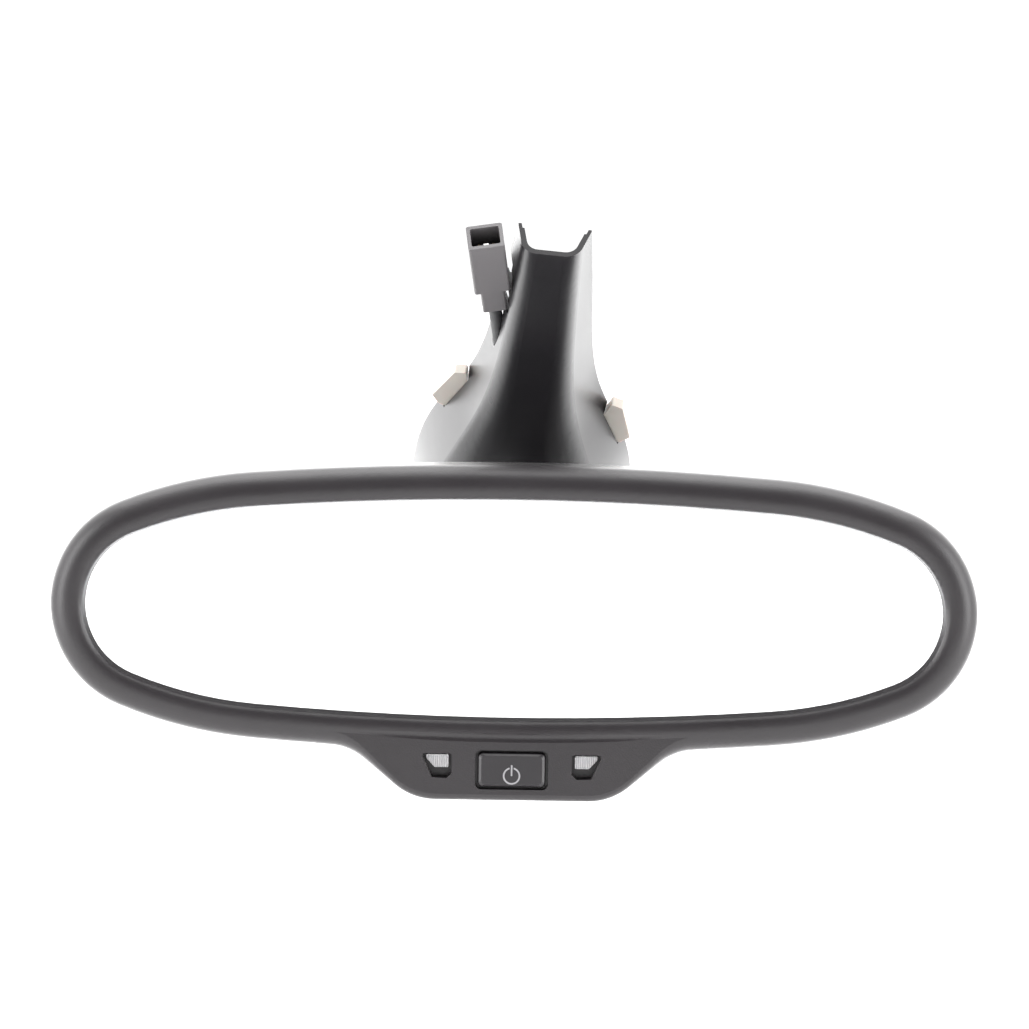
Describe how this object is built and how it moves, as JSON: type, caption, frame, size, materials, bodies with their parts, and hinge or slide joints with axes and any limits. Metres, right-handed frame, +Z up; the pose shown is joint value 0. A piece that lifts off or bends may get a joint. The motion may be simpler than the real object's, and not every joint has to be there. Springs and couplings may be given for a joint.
{
  "type": "interior rearview mirror",
  "caption": "Wide oval self-dimming interior mirror on a ball-jointed windscreen arm with a tapered stem cover, plug connector and a button between two lamp windows.",
  "frame": {"origin": "centre of the windscreen foot's seat, on the mouth of its round socket", "axes": "+Z up, the glass faces -Y, +X to the viewer's right along the head"},
  "size_m": [0.246, 0.1058, 0.153],
  "materials": {
    "bezel_plastic": "fine-grain moulded black",
    "housing_plastic": "satin moulded black",
    "mirror_glass": "polished, silvered",
    "seal_rubber": "black silicone",
    "gel": "clear gel",
    "contact_metal": "tinned spring contact",
    "pad_foam": "adhesive foam",
    "carrier_plastic": "glass-filled moulding",
    "screw_steel": "zinc plated",
    "board_green": "solder mask",
    "component_black": "moulded package",
    "smoked_lens": "smoked clear",
    "cable_black": "soft sheath",
    "lens_white": "translucent white",
    "button_plastic": "satin soft-touch black",
    "symbol_grey": "printed light grey",
    "cast_metal": "die-cast, unpainted",
    "spring_steel": "blued spring steel",
    "bearing_plastic": "low-friction natural white",
    "arm_black": "black coated die-casting",
    "ivory_plastic": "natural ivory nylon",
    "cover_plastic": "satin moulded black",
    "connector_plastic": "grey moulded",
    "white_plastic": "white moulded"
  },
  "bodies": {
    "foot": {"ball_arm": "arm_black", "harness": "cable_black", "mount_foot": "cast_metal", "foot_spring": "spring_steel", "foot_screw": "screw_steel", "cover_bracket": "ivory_plastic", "stem_cover": "cover_plastic", "connector_housing": "connector_plastic", "connector_terminals": "contact_metal", "connector_latch": "white_plastic"},
    "liner": {"ball_liner": "bearing_plastic"},
    "cup": {"friction_cup": "spring_steel"},
    "head": {"front_bezel": "bezel_plastic", "rear_housing": "housing_plastic", "mirror_front_glass": "mirror_glass", "mirror_rear_glass": "mirror_glass", "cell_seal": "seal_rubber", "electrochromic_gel": "gel", "bus_clip_upper": "contact_metal", "bus_clip_lower": "contact_metal", "glass_pad": "pad_foam", "glass_carrier": "carrier_plastic", "carrier_screws": "screw_steel", "control_board": "board_green", "board_components": "component_black", "board_screws": "screw_steel", "glare_sensor": "component_black", "ambient_sensor": "component_black", "ambient_light_pipe": "smoked_lens", "lead_plug": "component_black", "head_lead": "cable_black", "switch_board": "board_green", "left_led": "lens_white", "right_led": "lens_white", "left_lens": "lens_white", "right_lens": "lens_white", "button_switch": "component_black", "button_mat": "seal_rubber", "ball_socket": "cast_metal", "socket_cap": "cast_metal", "socket_screws": "screw_steel"},
    "button": {"power_button": "button_plastic", "button_symbol": "symbol_grey"}
  },
  "joints": [
    {"name": "head_yaw", "type": "hinge", "parent": "foot", "child": "liner", "pos_m": [-0.0034, -0.0523, -0.0459], "axis": [0, 0, 1], "range_deg": [-14, 14]},
    {"name": "head_pitch", "type": "hinge", "parent": "liner", "child": "cup", "pos_m": [-0.0034, -0.0523, -0.0459], "axis": [1, 0, 0], "range_deg": [-12, 12]},
    {"name": "head_roll", "type": "hinge", "parent": "cup", "child": "head", "pos_m": [-0.0034, -0.0523, -0.0459], "axis": [0, 1, 0], "range_deg": [-10, 10]},
    {"name": "button_press", "type": "slide", "parent": "head", "child": "button", "axis": [0, 1, 0], "range_m": [0, 0.0008], "stiffness_N_per_m": 900, "springref_m": -0.0004, "deforming": ["button_mat"]}
  ]
}
